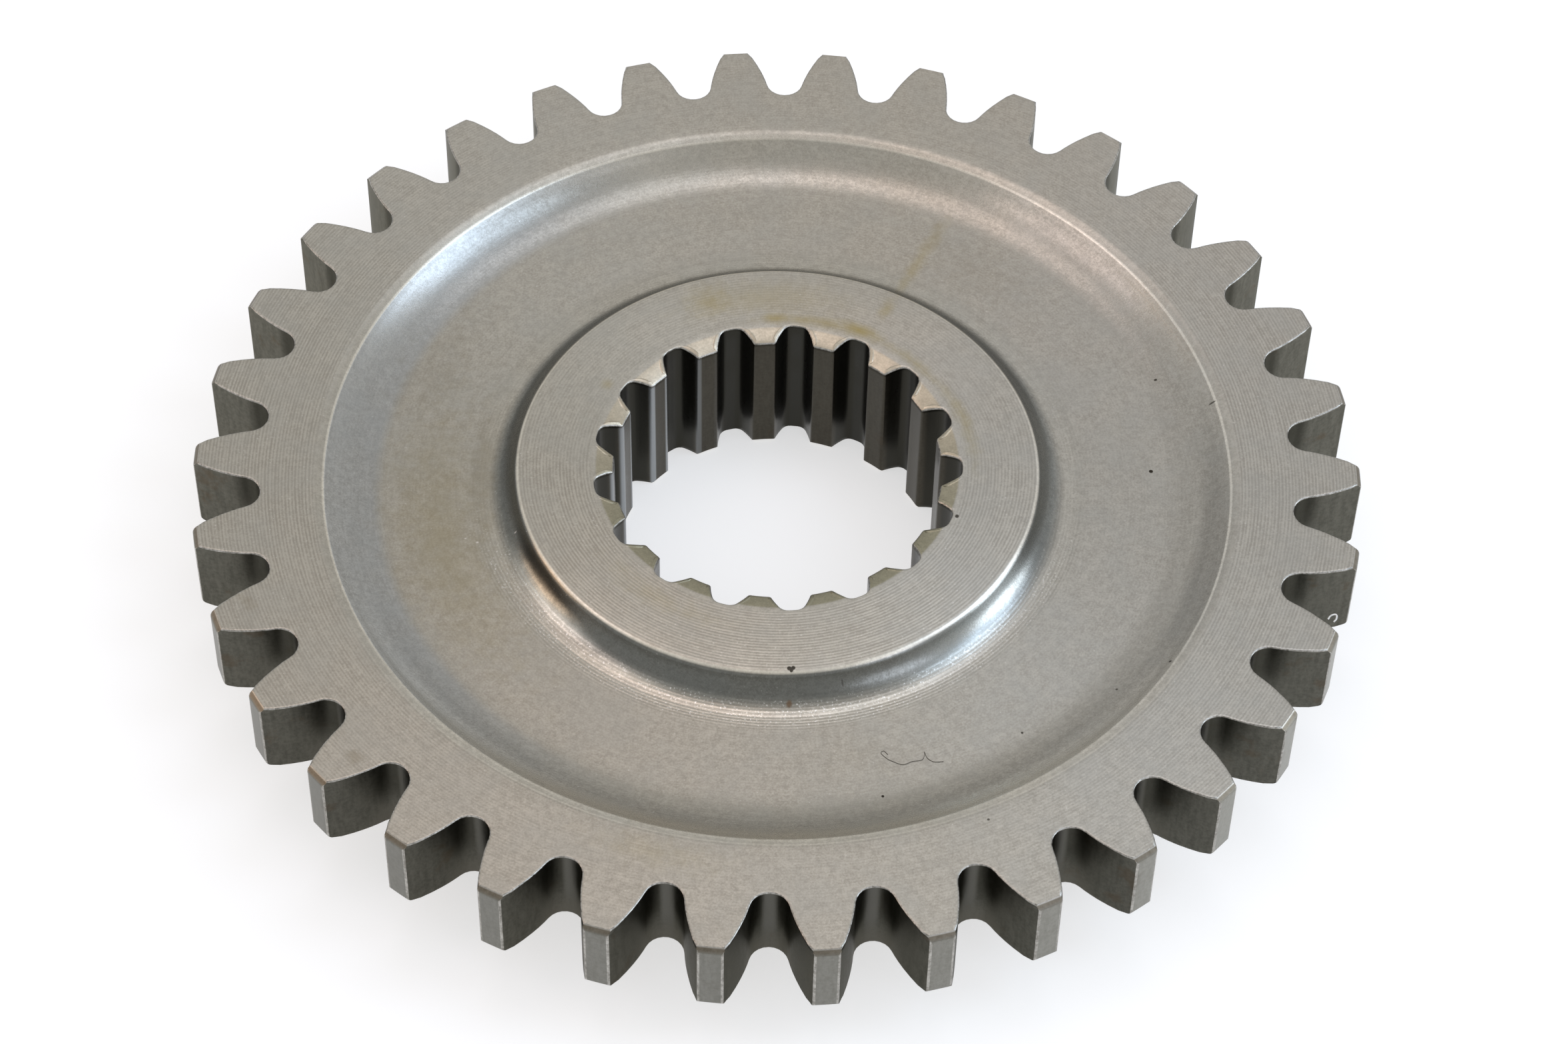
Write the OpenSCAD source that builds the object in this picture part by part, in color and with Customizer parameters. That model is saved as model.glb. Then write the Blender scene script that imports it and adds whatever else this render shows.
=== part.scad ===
// Crankshaft gear: a one-piece steel spur gear with a splined bore.
// It lies flat on the long end of its hub, with its axis on Z. A tooth and a spline groove point
// along +X. All lengths are in millimetres and all angles in degrees.

/* [Teeth] */
// Number of teeth
teeth = 34; // [30:1:60]
// Module: pitch diameter over number of teeth
gear_module = 2.5; // [2.3:0.05:4]
// Pressure angle of the teeth
pressure_angle = 20; // [17:0.5:22]
// Height of a tooth above the pitch circle, in modules
addendum = 1.0; // [0.8:0.05:1.1]
// Depth of a tooth gap below the pitch circle, in modules
dedendum = 1.1; // [1.05:0.01:1.25]
// Chamfer turned on both ends of the teeth
tip_chamfer = 0.4; // [0.1:0.05:0.8]

/* [Rim and web] */
// Width of the toothed rim along the axis
rim_width = 7.1; // [5:0.1:8.5]
// Solid ring between the bottoms of the tooth gaps and the recess
rim_band = 4.55; // [2:0.05:7]
// Depth of the ring-shaped recess below the rim's face
recess_depth = 2.1; // [1:0.1:2.8]
// Radius that forms the recess's outer wall, from its floor up to the rim's face
recess_cove = 7; // [4:0.5:8]
// Width of the bevel on the recess's outer edge
recess_break = 0.4; // [0.1:0.05:1]

/* [Hub] */
// Diameter of the hub
hub_d = 40.4; // [36:0.1:46]
// Length of the hub, from its face level with the rim to its long end
hub_length = 12.3; // [12:0.1:24]
// Radius that forms the hub's wall in the recess, from the floor up to the hub's face
hub_cove = 3; // [2.9:0.1:4]
// Small bevel in the corner between the hub and the underside of the web
under_bevel = 0.8; // [0.3:0.1:2]
// Bevel on the outer edges of the hub's two ends
hub_break = 0.25; // [0.1:0.05:0.8]

/* [Spline] */
// Number of grooves in the bore
grooves = 17; // [15:1:19]
// Diameter of the bore over the lands between the grooves
minor_d = 25.3; // [24.6:0.1:26]
// Diameter of the bore at the bottoms of the grooves
major_d = 28.5; // [27.8:0.1:28.9]
// Pitch diameter of the spline
spline_pitch_d = 27; // [26.6:0.1:27.6]
// Width of a groove on the spline's pitch circle
groove_w = 2.33; // [2.2:0.01:2.5]
// Pressure angle of the spline's flanks
spline_angle = 30; // [28:1:32]
// Radius at the bottom corners of a groove
groove_fillet = 0.5; // [0.2:0.05:0.6]
// Diameter of the lead-in at the mouth level with the rim
mouth_d = 28.8; // [28:0.1:32]
// Depth of that lead-in along the axis
mouth_depth = 0.55; // [0.2:0.05:1.5]
// Depth of the small lead-in at the hub's long end
back_mouth_depth = 0.2; // [0.1:0.05:1]

/* [Hidden] */
$fn = 144;
// How far a cutting shape reaches past the surface that it cuts
over = 1;
// How far the flanks of a tooth gap are drawn past the tip circle
tip_over = 0.2;
// Straight steps that make up a tooth's flank, half of a tooth gap's bottom, a groove's flank and
// a groove's corner radius
flank_steps = 4;
root_steps = 4;
groove_steps = 3;
corner_steps = 3;
// How far a groove's corner radii reach past its bottom, so that they cross it clearly
corner_over = 0.01;
// Circles of the teeth
pitch_r = gear_module * teeth / 2;
base_r = pitch_r * cos(pressure_angle);
tip_r = pitch_r + addendum * gear_module;
root_r = pitch_r - dedendum * gear_module;
// Circles of the spline
minor_r = minor_d / 2;
major_r = major_d / 2;
spline_base_r = spline_pitch_d / 2 * cos(spline_angle);
// Heights of the faces above the hub's long end
web_under = hub_length - rim_width;
recess_floor = hub_length - recess_depth;
// Edge of the recess on the rim's face
recess_r = root_r - rim_band;
hub_r = hub_d / 2;

// Degrees in one radian, and the involute function of an angle, as an angle
rad = 180 / PI;
function involute(a) = tan(a) * rad - a;
// Point at a radius and an angle
function polar(r, a) = [r * cos(a), r * sin(a)];
// Pressure angle at a radius, on the involute that leaves a base circle
function angle_at(base, r) = acos(base / r);
// Point on an involute that starts at angle "start" and is rolled through "roll" degrees
function rolled(base, start, roll) =
    polar(base * sqrt(1 + pow(roll / rad, 2)), start + roll - atan(roll / rad));

// Half of the angle that a tooth gap spans on the base circle
gap_half = 180 / teeth - (90 / teeth + involute(pressure_angle));
// Half of the angle that a spline groove spans on its base circle
groove_half = groove_w / spline_pitch_d * rad + involute(spline_angle);

// The bottom of a tooth gap is one full radius, tangent to both flanks and to the root circle.
// Its centre is found by repetition.
function gap_circle(r, n) =
    n == 0 ? r : gap_circle(root_r + base_r * (involute(angle_at(base_r, r)) + gap_half) / rad, n - 1);
gap_centre_r = gap_circle(pitch_r, 12);
gap_fillet = gap_centre_r - root_r;
// Roll angles at which a tooth's flank leaves that radius and passes the tip circle
gap_roll_0 = angle_at(base_r, gap_centre_r) - gap_half;
gap_roll_1 = tan(angle_at(base_r, tip_r + tip_over)) * rad;

// Place of the centre of a groove's corner radius
groove_centre_r = major_r - groove_fillet + corner_over;
groove_fillet_a = groove_fillet / spline_base_r * rad;
groove_centre_a = groove_half - involute(angle_at(spline_base_r, groove_centre_r)) - groove_fillet_a;
// Roll angles of a groove's flank, from inside the lands out to the corner radius
groove_roll_0 = tan(angle_at(spline_base_r, spline_base_r + (minor_r - spline_base_r) / 3)) * rad;
groove_roll_1 = groove_half - groove_centre_a + angle_at(spline_base_r, groove_centre_r);

// One side of a tooth gap: its flank from past the tip circle inwards, then half of its bottom
function gap_side() = [
    for (i = [0 : flank_steps])
        rolled(base_r, gap_half, gap_roll_1 + (gap_roll_0 - gap_roll_1) * i / flank_steps),
    for (i = [1 : root_steps])
        let (a = gap_half + gap_roll_0 + 90 + (90 - gap_half - gap_roll_0) * i / root_steps)
        [gap_centre_r, 0] + polar(gap_fillet, a)
];

// The gap between two teeth, along +X
module tooth_gap() {
    side = gap_side();
    polygon([
        for (p = side) p,
        for (i = [len(side) - 2 : -1 : 0]) [side[i][0], -side[i][1]]
    ]);
}

// The toothed outline
module toothed_disc() {
    difference() {
        circle(tip_r + tip_over / 2);
        for (i = [0 : teeth - 1]) rotate((i + 0.5) * 360 / teeth) tooth_gap();
    }
}

// One side of a spline groove: its flank from inside the land outwards, then its corner radius
function groove_side() = [
    for (i = [0 : groove_steps])
        let (roll = groove_roll_0 + (groove_roll_1 - groove_roll_0) * i / groove_steps)
        rolled(spline_base_r, -groove_half, roll),
    for (i = [1 : corner_steps])
        let (from = groove_roll_1 - groove_half - 90, to = -groove_centre_a)
        polar(groove_centre_r, to) + polar(groove_fillet, from + (to - from) * i / corner_steps)
];

// One groove of the bore, along +X
module spline_groove() {
    side = groove_side();
    intersection() {
        circle(major_r);
        polygon([
            for (p = side) p,
            for (i = [len(side) - 1 : -1 : 0]) [side[i][0], -side[i][1]]
        ]);
    }
}

// The outline of the splined bore
module spline_outline() {
    circle(minor_r);
    for (i = [0 : grooves - 1]) rotate(i * 360 / grooves) spline_groove();
}

// Half section of the blank: rim and web with their chamfers, and the hub through them
module blank_section() {
    polygon([
        [0, web_under],
        [tip_r - tip_chamfer, web_under],
        [tip_r, web_under + tip_chamfer],
        [tip_r, hub_length - tip_chamfer],
        [tip_r - tip_chamfer, hub_length],
        [0, hub_length]
    ]);
    polygon([
        [0, 0],
        [hub_r - hub_break, 0],
        [hub_r, hub_break],
        [hub_r, web_under + over],
        [0, web_under + over]
    ]);
    // The bevel in the corner under the web
    polygon([
        [hub_r - over, web_under - under_bevel - over],
        [hub_r + under_bevel + over, web_under + over],
        [hub_r - over, web_under + over]
    ]);
}

// Middle of the radius that forms a wall of the recess: the side is 1 for the rim's wall and -1
// for the hub's
function cove_r(edge_r, cove, side) = edge_r - side * sqrt(pow(cove, 2) - pow(cove - recess_depth, 2));
// Slope of such a wall where it meets the face
function wall_slope(cove) = acos(1 - recess_depth / cove);

// The recess as turned: a flat floor between two coves
module recess() {
    in_r = cove_r(hub_r, hub_cove, -1);
    out_r = cove_r(recess_r, recess_cove, 1);
    rotate_extrude() intersection() {
        union() {
            translate([in_r, recess_floor + hub_cove]) circle(hub_cove);
            translate([in_r, recess_floor]) square([tip_r, recess_depth + over]);
        }
        union() {
            translate([out_r, recess_floor + recess_cove]) circle(recess_cove);
            translate([0, recess_floor]) square([out_r, recess_depth + over]);
        }
        square([tip_r, hub_length + over]);
    }
}

// The bevels on the two edges of the recess: each lies at half the slope of its wall
module recess_bevels() {
    rim_run = over / tan(wall_slope(recess_cove) / 2);
    hub_run = over / tan(wall_slope(hub_cove) / 2);
    rim_edge_r = recess_r + recess_break;
    hub_edge_r = hub_r - hub_break;
    translate([0, 0, hub_length]) rotate_extrude() {
        polygon([
            [rim_edge_r + rim_run, over],
            [rim_edge_r - rim_run, -over],
            [rim_edge_r - rim_run, over]
        ]);
        polygon([
            [hub_edge_r - hub_run, over],
            [hub_edge_r + hub_run, -over],
            [hub_edge_r + hub_run, over]
        ]);
    }
}

// The lead-ins at the two mouths of the bore
module mouths() {
    front_h = mouth_depth + over;
    front_r = minor_r + (mouth_d / 2 - minor_r) / mouth_depth * front_h;
    back_h = back_mouth_depth + over;
    translate([0, 0, hub_length - mouth_depth]) cylinder(r1 = minor_r, r2 = front_r, h = front_h);
    translate([0, 0, -over]) cylinder(r1 = minor_r + back_h, r2 = minor_r, h = back_h);
}

module gear() {
    color("#8f8a83") difference() {
        intersection() {
            rotate_extrude() blank_section();
            translate([0, 0, -over]) linear_extrude(hub_length + 2 * over) toothed_disc();
        }
        recess();
        recess_bevels();
        translate([0, 0, -over]) linear_extrude(hub_length + 2 * over) spline_outline();
        mouths();
    }
}

gear();
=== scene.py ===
import bpy
import math
from mathutils import Matrix, Vector


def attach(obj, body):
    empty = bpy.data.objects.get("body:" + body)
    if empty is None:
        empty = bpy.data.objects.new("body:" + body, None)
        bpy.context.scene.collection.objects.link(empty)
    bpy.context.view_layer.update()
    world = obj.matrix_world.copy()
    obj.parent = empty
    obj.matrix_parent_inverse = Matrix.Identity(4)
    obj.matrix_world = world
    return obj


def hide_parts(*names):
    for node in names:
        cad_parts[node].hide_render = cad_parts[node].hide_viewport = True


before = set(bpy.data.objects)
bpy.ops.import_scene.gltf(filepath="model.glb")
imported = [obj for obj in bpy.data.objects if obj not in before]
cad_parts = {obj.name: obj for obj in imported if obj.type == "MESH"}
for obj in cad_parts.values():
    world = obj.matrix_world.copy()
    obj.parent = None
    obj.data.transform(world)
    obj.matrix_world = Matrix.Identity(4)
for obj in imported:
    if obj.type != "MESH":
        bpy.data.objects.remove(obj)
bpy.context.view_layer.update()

# The camera looks down on the gear at 51 degrees through a long lens, from the side of -Y. Its
# place was fitted to the tips of the teeth and to the bore: it is in outer radii of the gear from
# the middle of the gear's face, and the focal length is in pixels of the photograph.
OUTER_R, FACE_HEIGHT = 0.045, 0.0123
PHOTO_WIDTH, FOCAL_LENGTH = 2354.0, 6450.08
SENSOR_WIDTH = 36.0
azimuth = math.radians(-0.286)
elevation = math.radians(51.1158)
roll = math.radians(1.3071)
back = Vector((0.0, -math.cos(elevation), math.sin(elevation)))
right = Vector((1.0, 0.0, 0.0))
up = Vector((0.0, math.sin(elevation), math.cos(elevation)))
right_rolled = math.cos(roll) * right + math.sin(roll) * up
up_rolled = -math.sin(roll) * right + math.cos(roll) * up
place = back * (7.35855 * OUTER_R) + right * 0.01311 * OUTER_R + up * -0.09968 * OUTER_R
place += Vector((0.0, 0.0, FACE_HEIGHT))
axes = Matrix((right_rolled, up_rolled, back)).transposed().to_4x4()
lens = bpy.data.cameras.new("camera")
lens.lens = FOCAL_LENGTH * SENSOR_WIDTH / PHOTO_WIDTH
lens.sensor_width = SENSOR_WIDTH
lens.sensor_fit = "HORIZONTAL"
lens.clip_start = 0.01
camera = bpy.data.objects.new("camera", lens)
camera.matrix_world = Matrix.Rotation(azimuth, 4, "Z") @ Matrix.Translation(place) @ axes
bpy.context.collection.objects.link(camera)
bpy.context.scene.camera = camera
bpy.context.scene.view_settings.view_transform = "Standard"

# The gear is one piece of steel: turned on a lathe with a ring-shaped recess in its face, its teeth
# hobbed and its splined bore broached. It lies flat on the long end of its hub. All sizes are in
# millimetres, and angles run anticlockwise from +X, where a tooth and a groove of the bore are.
TOP, WEB = 12.3, 5.2
TEETH, MODULE, PRESSURE = 34, 2.5, math.radians(20.0)
TIP_R, ROOT_R, PITCH_R = 45.0, 39.75, TEETH * MODULE / 2
BASE_R = PITCH_R * math.cos(PRESSURE)
END_CHAMFER = 0.4
RECESS_R, RECESS_DEPTH, RECESS_COVE, RECESS_BREAK = 35.2, 2.1, 7.0, 0.4
RECESS_FLOOR = TOP - RECESS_DEPTH
HUB_R, HUB_COVE, HUB_BREAK, UNDER_BEVEL = 20.2, 3.0, 0.25, 0.8
GROOVES, GROOVE_WIDTH, GROOVE_CORNER = 17, 2.33, 0.8
SPLINE_PITCH_R, SPLINE_PRESSURE = 13.5, math.radians(30.0)
SPLINE_BASE_R = SPLINE_PITCH_R * math.cos(SPLINE_PRESSURE)
MINOR_R, MAJOR_R = 12.65, 14.25
MOUTH_R, LEAD_IN_R, LEAD_IN_DEPTH, BACK_MOUTH = 14.4, 14.15, 0.4, 0.2


def involute(angle):
    return math.tan(angle) - angle


def rolled(base, start, roll_angle):
    """Radius and polar angle of a point of an involute that leaves its base circle at start."""
    return base * math.hypot(1.0, roll_angle), start + roll_angle - math.atan(roll_angle)


def polar(r, a):
    return Vector((r * math.cos(a), r * math.sin(a)))


def mirrored(points):
    return [Vector((p.x, -p.y)) for p in points]


def repeated(points, count, first):
    """The points turned about the axis, count times. The first copy is turned by first steps."""
    out = []
    for k in range(count):
        spin = Matrix.Rotation((k + first) * 2 * math.pi / count, 2)
        out += [spin @ p for p in points]
    return out


def soften(points, radius, steps=3, least=0.13):
    """A section line with each of its corners, if it bends by least, turned into a small curve."""
    out = [points[0]]
    for before, here, after in zip(points, points[1:], points[2:]):
        a, b = (here - before), (after - here)
        if a.angle(b) < least:
            out.append(here)
            continue
        reach = min(radius, 0.45 * a.length, 0.45 * b.length)
        start, end = here - a.normalized() * reach, here + b.normalized() * reach
        for i in range(steps + 1):
            t = i / steps
            out.append(start * (1 - t) ** 2 + here * 2 * t * (1 - t) + end * t * t)
    out.append(points[-1])
    return out


# Half of a tooth gap's outline, from its middle on +X: half of the full radius in its bottom, its
# flank, the small curve at the tooth's corner, and half of the tooth's tip
FILLET_STEPS, FLANK_STEPS = 5, 6
TOOTH_CORNER, TIP_EASE = 0.16, 0.012
gap_half = math.pi / TEETH - (math.pi / (2 * TEETH) + involute(PRESSURE))
centre_r = PITCH_R
for _ in range(20):
    centre_r = ROOT_R + BASE_R * (involute(math.acos(BASE_R / centre_r)) + gap_half)
fillet = centre_r - ROOT_R
roll_0 = math.acos(BASE_R / centre_r) - gap_half
roll_1 = math.tan(math.acos(BASE_R / TIP_R))
half_gap = []
for i in range(FILLET_STEPS):
    a = math.pi - (math.pi / 2 - gap_half - roll_0) * i / FILLET_STEPS
    half_gap.append(Vector((centre_r, 0.0)) + polar(fillet, a))
flank = []
for i in range(FLANK_STEPS + 1):
    flank.append(rolled(BASE_R, gap_half, roll_0 + (roll_1 - roll_0) * i / FLANK_STEPS))
flank_end = flank[-1][1]
tip_start = flank_end + TIP_EASE
tooth_corner = [polar(*flank[-2]), polar(TIP_R, flank_end), polar(TIP_R, tip_start)]
half_gap += [polar(*p) for p in flank[:-1]]
half_gap += soften(tooth_corner, TOOTH_CORNER, 4)[1:-1]
half_gap += [polar(TIP_R, tip_start + (math.pi / TEETH - tip_start) * i / 2) for i in range(3)]
outline = repeated(mirrored(reversed(half_gap[1:-1])) + half_gap, TEETH, 0.5)

# Half of a groove of the bore, from its middle on +X: its bottom, its corner radius, its flank, the
# small curve at the land's corner, and half of the land
CORNER_STEPS, GROOVE_STEPS = 4, 5
LAND_CORNER, LAND_EASE = 0.3, 0.03
corner_r = MAJOR_R - GROOVE_CORNER
groove_half = GROOVE_WIDTH / (2 * SPLINE_PITCH_R) + involute(SPLINE_PRESSURE)
corner_pressure = math.acos(SPLINE_BASE_R / corner_r)
corner_a = groove_half - involute(corner_pressure) - GROOVE_CORNER / SPLINE_BASE_R
roll_1 = groove_half - corner_a + corner_pressure
roll_0 = math.tan(math.acos(SPLINE_BASE_R / MINOR_R))
land_a = groove_half - involute(math.acos(SPLINE_BASE_R / MINOR_R))
land_start = land_a + LAND_EASE
half_groove = [polar(MAJOR_R, -corner_a * i / 2) for i in range(3)]
for i in range(1, CORNER_STEPS + 1):
    a = -corner_a + (roll_1 - groove_half - math.pi / 2 + corner_a) * i / CORNER_STEPS
    half_groove.append(polar(corner_r, -corner_a) + polar(GROOVE_CORNER, a))
for i in range(1, GROOVE_STEPS - 1):
    roll_here = roll_1 + (roll_0 - roll_1) * i / GROOVE_STEPS
    half_groove.append(polar(*rolled(SPLINE_BASE_R, -groove_half, roll_here)))
land_corner = [half_groove[-1], polar(MINOR_R, -land_a), polar(MINOR_R, -land_start)]
half_groove += soften(land_corner, LAND_CORNER, 4)[1:-1]
for i in range(3):
    half_groove.append(polar(MINOR_R, -land_start - (math.pi / GROOVES - land_start) * i / 2))
bore = repeated(half_groove[:0:-1] + mirrored(half_groove[:-1]), GROOVES, 0)


def outward(line):
    """Unit normals of a closed outline that runs anticlockwise."""
    out = []
    for i in range(len(line)):
        along = (line[(i + 1) % len(line)] - line[i - 1]).normalized()
        out.append(Vector((along.y, -along.x)))
    return out


# The steel's mesh is made of rings of points. Each face belongs to a zone with a finish of its own.
FACE, FLANK, TIP, CHAMFER, BORE, UNDER, BURR_AND_HIGHLIGHT = range(7)
verts, faces, zones = [], [], []


def add_ring(points):
    first = len(verts)
    verts.extend(points)
    return list(range(first, first + len(points)))


def stitch(lower, upper, zone):
    """Quads between two rings of the same length. Seen from outside, the lower ring is below."""
    for i in range(len(lower)):
        j = (i + 1) % len(lower)
        faces.append((lower[i], lower[j], upper[j], upper[i]))
        zones.append(zone)


def follow(ring, angles, section, zone):
    """Round rings along a section line of radii and heights, joined to a ring if there is one."""
    for p in section:
        new = add_ring([(p.x * math.cos(a), p.x * math.sin(a), p.y) for a in angles])
        if ring:
            stitch(ring, new, zone)
        ring = new
    return ring


def angle_of(index):
    return math.atan2(verts[index][1], verts[index][0]) % (2 * math.pi)


def zip_rings(outer, inner, zone):
    """Triangles between two rings that have different numbers of points."""
    a = sorted(outer, key=angle_of)
    b = sorted(inner, key=angle_of)
    n, m = len(a), len(b)
    i = j = 0
    while i < n or j < m:
        next_outer = angle_of(a[(i + 1) % n]) + 2 * math.pi * ((i + 1) // n)
        next_inner = angle_of(b[(j + 1) % m]) + 2 * math.pi * ((j + 1) // m)
        if j >= m or (i < n and next_outer <= next_inner):
            faces.append((a[i % n], a[(i + 1) % n], b[j % m]))
            i += 1
        else:
            faces.append((a[i % n], b[(j + 1) % m], b[j % m]))
            j += 1
        zones.append(zone)


# The sides of the teeth, from the underside up to the rim's face. Their edges are rounded, and the
# tips have a chamfer at both ends, which melts softly into them. Each level is a ring's depth from
# the nearest end face and its height.
ROUNDING = 0.09
CHAMFER_BLEND = 0.03
SUPPORT = 0.12
normals = outward(outline)
depths = [0.0, 0.025, 0.06, 0.1, 0.16, 0.24, 0.32, 0.37, 0.41, 0.46, 0.6]
plain_height = TOP - WEB - 2 * depths[-1]
levels = [(d, WEB + d) for d in depths]
levels += [(1.0, WEB + depths[-1] + plain_height * t) for t in (0.2, 0.5, 0.8)]
levels += [(d, TOP - d) for d in reversed(depths)]


def side_point(p, n, depth, z):
    """A point of a tooth's side, depth below or above the nearest end face."""
    t = max(0.0, 1.0 - depth / ROUNDING)
    q = p - n * ROUNDING * (1.0 - math.sqrt(max(0.0, 1.0 - t * t)))
    over = (END_CHAMFER - depth) / CHAMFER_BLEND
    limit = TIP_R - CHAMFER_BLEND * math.log(1.0 + math.exp(min(30.0, over)))
    if q.length > limit:
        q = q * (limit / q.length)
    return (q.x, q.y, z)


def side_zone(depth, r):
    """The zone of a face on a tooth's side, from its depth and the radius of its outline."""
    if depth <= 0.1 and (r < TIP_R - END_CHAMFER or depth <= 0.03):
        return BURR_AND_HIGHLIGHT
    if depth <= END_CHAMFER + 0.02 and r > TIP_R - END_CHAMFER + depth:
        return CHAMFER
    if TIP_R - 0.12 < r < TIP_R - 0.003:
        return BURR_AND_HIGHLIGHT
    return TIP if r > TIP_R - 0.05 else FLANK


rings = []
for depth, z in levels:
    rings.append(add_ring([side_point(p, n, depth, z) for p, n in zip(outline, normals)]))
radii = [p.length for p in outline]
for k in range(len(rings) - 1):
    depth = max(levels[k][0], levels[k + 1][0])
    stitch(rings[k], rings[k + 1], FLANK)
    for i in range(len(outline)):
        zones[i - len(outline)] = side_zone(depth, min(radii[i], radii[(i + 1) % len(outline)]))


def inset_ring(source, z):
    """A ring on an end face, just inside the teeth's rounded edge, that keeps the face flat."""
    out = []
    for k, n in zip(source, normals):
        x, y, _ = verts[k]
        out.append((x - n.x * SUPPORT, y - n.y * SUPPORT, z))
    return add_ring(out)


def recess_wall(edge, radius, width, side, steps=11):
    """A wall of the recess, from its floor up to the face: a cove, and a bevel on its edge. The
    side is 1 for the rim's wall and -1 for the hub's."""
    slope = math.acos(1 - RECESS_DEPTH / radius)
    foot = edge - side * math.sqrt(radius ** 2 - (radius - RECESS_DEPTH) ** 2)
    corner = edge + side * width
    wall = [Vector((foot - side * 0.6, RECESS_FLOOR))]
    for i in range(steps + 1):
        a = slope * i / steps
        r, z = foot + side * radius * math.sin(a), RECESS_FLOOR + radius * (1 - math.cos(a))
        if z < TOP - side * (corner - r) * math.tan(slope / 2) - 0.02:
            wall.append(Vector((r, z)))
    r = wall[-1].x + side * SUPPORT
    wall.append(Vector((r, TOP - side * (corner - r) * math.tan(slope / 2))))
    wall.append(Vector((corner, TOP)))
    return wall


# The rim's face and the recess's outer wall, from the teeth inwards to the recess's floor. Here and
# on the hub, the plain radii in a section only divide a flat face.
tooth_angles = [math.atan2(p.y, p.x) for p in outline]
support = inset_ring(rings[-1], TOP)
stitch(rings[-1], support, FACE)
section = [Vector((39.2, TOP)), Vector((37.0, TOP))]
section += reversed(recess_wall(RECESS_R, RECESS_COVE, RECESS_BREAK, 1))
section += [Vector((28.0, RECESS_FLOOR))]
floor_outer = follow(support, tooth_angles, soften(section, 0.25), FACE)

# The underside of the rim and the web
support = inset_ring(rings[0], WEB)
stitch(support, rings[0], UNDER)
under_outer = support
for r in (39.2, 27.0):
    new = follow(None, tooth_angles, [Vector((r, WEB))], UNDER)
    stitch(new, under_outer, UNDER)
    under_outer = new

# The hub, from the recess's floor up its wall and across its face to the mouth of the bore
bore_angles = [math.atan2(p.y, p.x) for p in bore]
bore_normals = outward(bore)
section = [Vector((25.0, RECESS_FLOOR))] + recess_wall(HUB_R, HUB_COVE, HUB_BREAK, -1)
section += [Vector((17.0, TOP)), Vector((MOUTH_R + 0.2, TOP))]
section = soften(section, 0.2)
floor_inner = follow(None, bore_angles, section[:1], FACE)
ring = follow(floor_inner, bore_angles, section[1:], FACE)
zip_rings(floor_outer, floor_inner, FACE)


def mouth_drop(r):
    """How far the worn lead-in has fallen below the hub's face at a radius."""
    return LEAD_IN_DEPTH * max(0.0, (LEAD_IN_R - r) / (LEAD_IN_R - MINOR_R)) ** 1.35


def lip(out, below):
    """Points round the bore's edge, out from its wall and below the lead-in's surface."""
    points = []
    for p, n in zip(bore, bore_normals):
        reach = out * min(1.0, (MOUTH_R - p.length) / 0.35)
        q = p + n * reach
        points.append((q.x, q.y, TOP - mouth_drop(p.length + reach) - below))
    return points


# The lead-in, its rounded edge, and the grooved wall down to the hub's long end
hub_line = [Vector(verts[k]) for k in ring]
lip_line = [Vector(p) for p in lip(0.3, 0.0)]
for share in (0.25, 0.45, 0.65, 0.85):
    points = []
    for a, b in zip(hub_line, lip_line):
        q = a.lerp(b, share)
        points.append((q.x, q.y, TOP - mouth_drop(math.hypot(q.x, q.y))))
    new = add_ring(points)
    stitch(ring, new, FACE)
    ring = new
for out, below, zone in (
    (0.3, 0.0, FACE), (0.2, 0.01, FACE), (0.1, 0.025, FACE), (0.04, 0.055, BURR_AND_HIGHLIGHT), (0.0, 0.12, BURR_AND_HIGHLIGHT),
    (0.0, 0.4, BORE),
):
    new = add_ring(lip(out, below))
    stitch(ring, new, zone)
    ring = new
for z in (11.0, 9.0, 7.0, 5.0, 3.0, 1.0, 0.35):
    new = add_ring([(p.x, p.y, z) for p in bore])
    stitch(ring, new, BORE)
    ring = new
new = add_ring([(p.x, p.y, max(0.02, MINOR_R + BACK_MOUTH - p.length)) for p in bore])
stitch(ring, new, BORE)
back_edge = [p * (max(p.length + 0.02, MINOR_R + BACK_MOUTH) / p.length) for p in bore]
ring = add_ring([(p.x, p.y, 0.0) for p in back_edge])
stitch(new, ring, FACE)

# The hub's long end, its outside, and the bevelled corner under the web
section = [Vector(p) for p in (
    (14.6, 0.0), (17.0, 0.0), (HUB_R - HUB_BREAK, 0.0), (HUB_R, HUB_BREAK),
    (HUB_R, WEB - UNDER_BEVEL), (HUB_R + UNDER_BEVEL, WEB), (24.0, WEB),
)]
ring = follow(ring, bore_angles, soften(section, 0.2, 2), UNDER)
zip_rings(ring, under_outer, UNDER)

mesh = bpy.data.meshes.new("gear_steel")
mesh.from_pydata([(x / 1000, y / 1000, z / 1000) for x, y, z in verts], [], faces)
mesh.polygons.foreach_set("material_index", zones)
mesh.polygons.foreach_set("use_smooth", [True] * len(faces))
mesh.validate()
SHARP_EDGE = math.radians(38)
mesh.set_sharp_from_angle(angle=SHARP_EDGE)
gear = bpy.data.objects.new("gear_steel", mesh)
bpy.context.collection.objects.link(gear)

# The steel is bare and oiled. Its faces carry the fine rings of the turning tool, and its flanks
# and bore carry the marks of the hob and the broach along the axis. Oil has dried on it in places.
VALUE, VECTOR = "NodeSocketFloat", "NodeSocketVector"


def group(name, inputs, outputs):
    """A node group with named sockets. Returns its tree, its inputs and its outputs."""
    tree = bpy.data.node_groups.new(name, "ShaderNodeTree")
    for label, value in inputs.items():
        tree.interface.new_socket(label, in_out="INPUT", socket_type=VALUE).default_value = value
    for label, kind in outputs.items():
        tree.interface.new_socket(label, in_out="OUTPUT", socket_type=kind)
    return tree, tree.nodes.new("NodeGroupInput").outputs, tree.nodes.new("NodeGroupOutput").inputs


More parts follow.
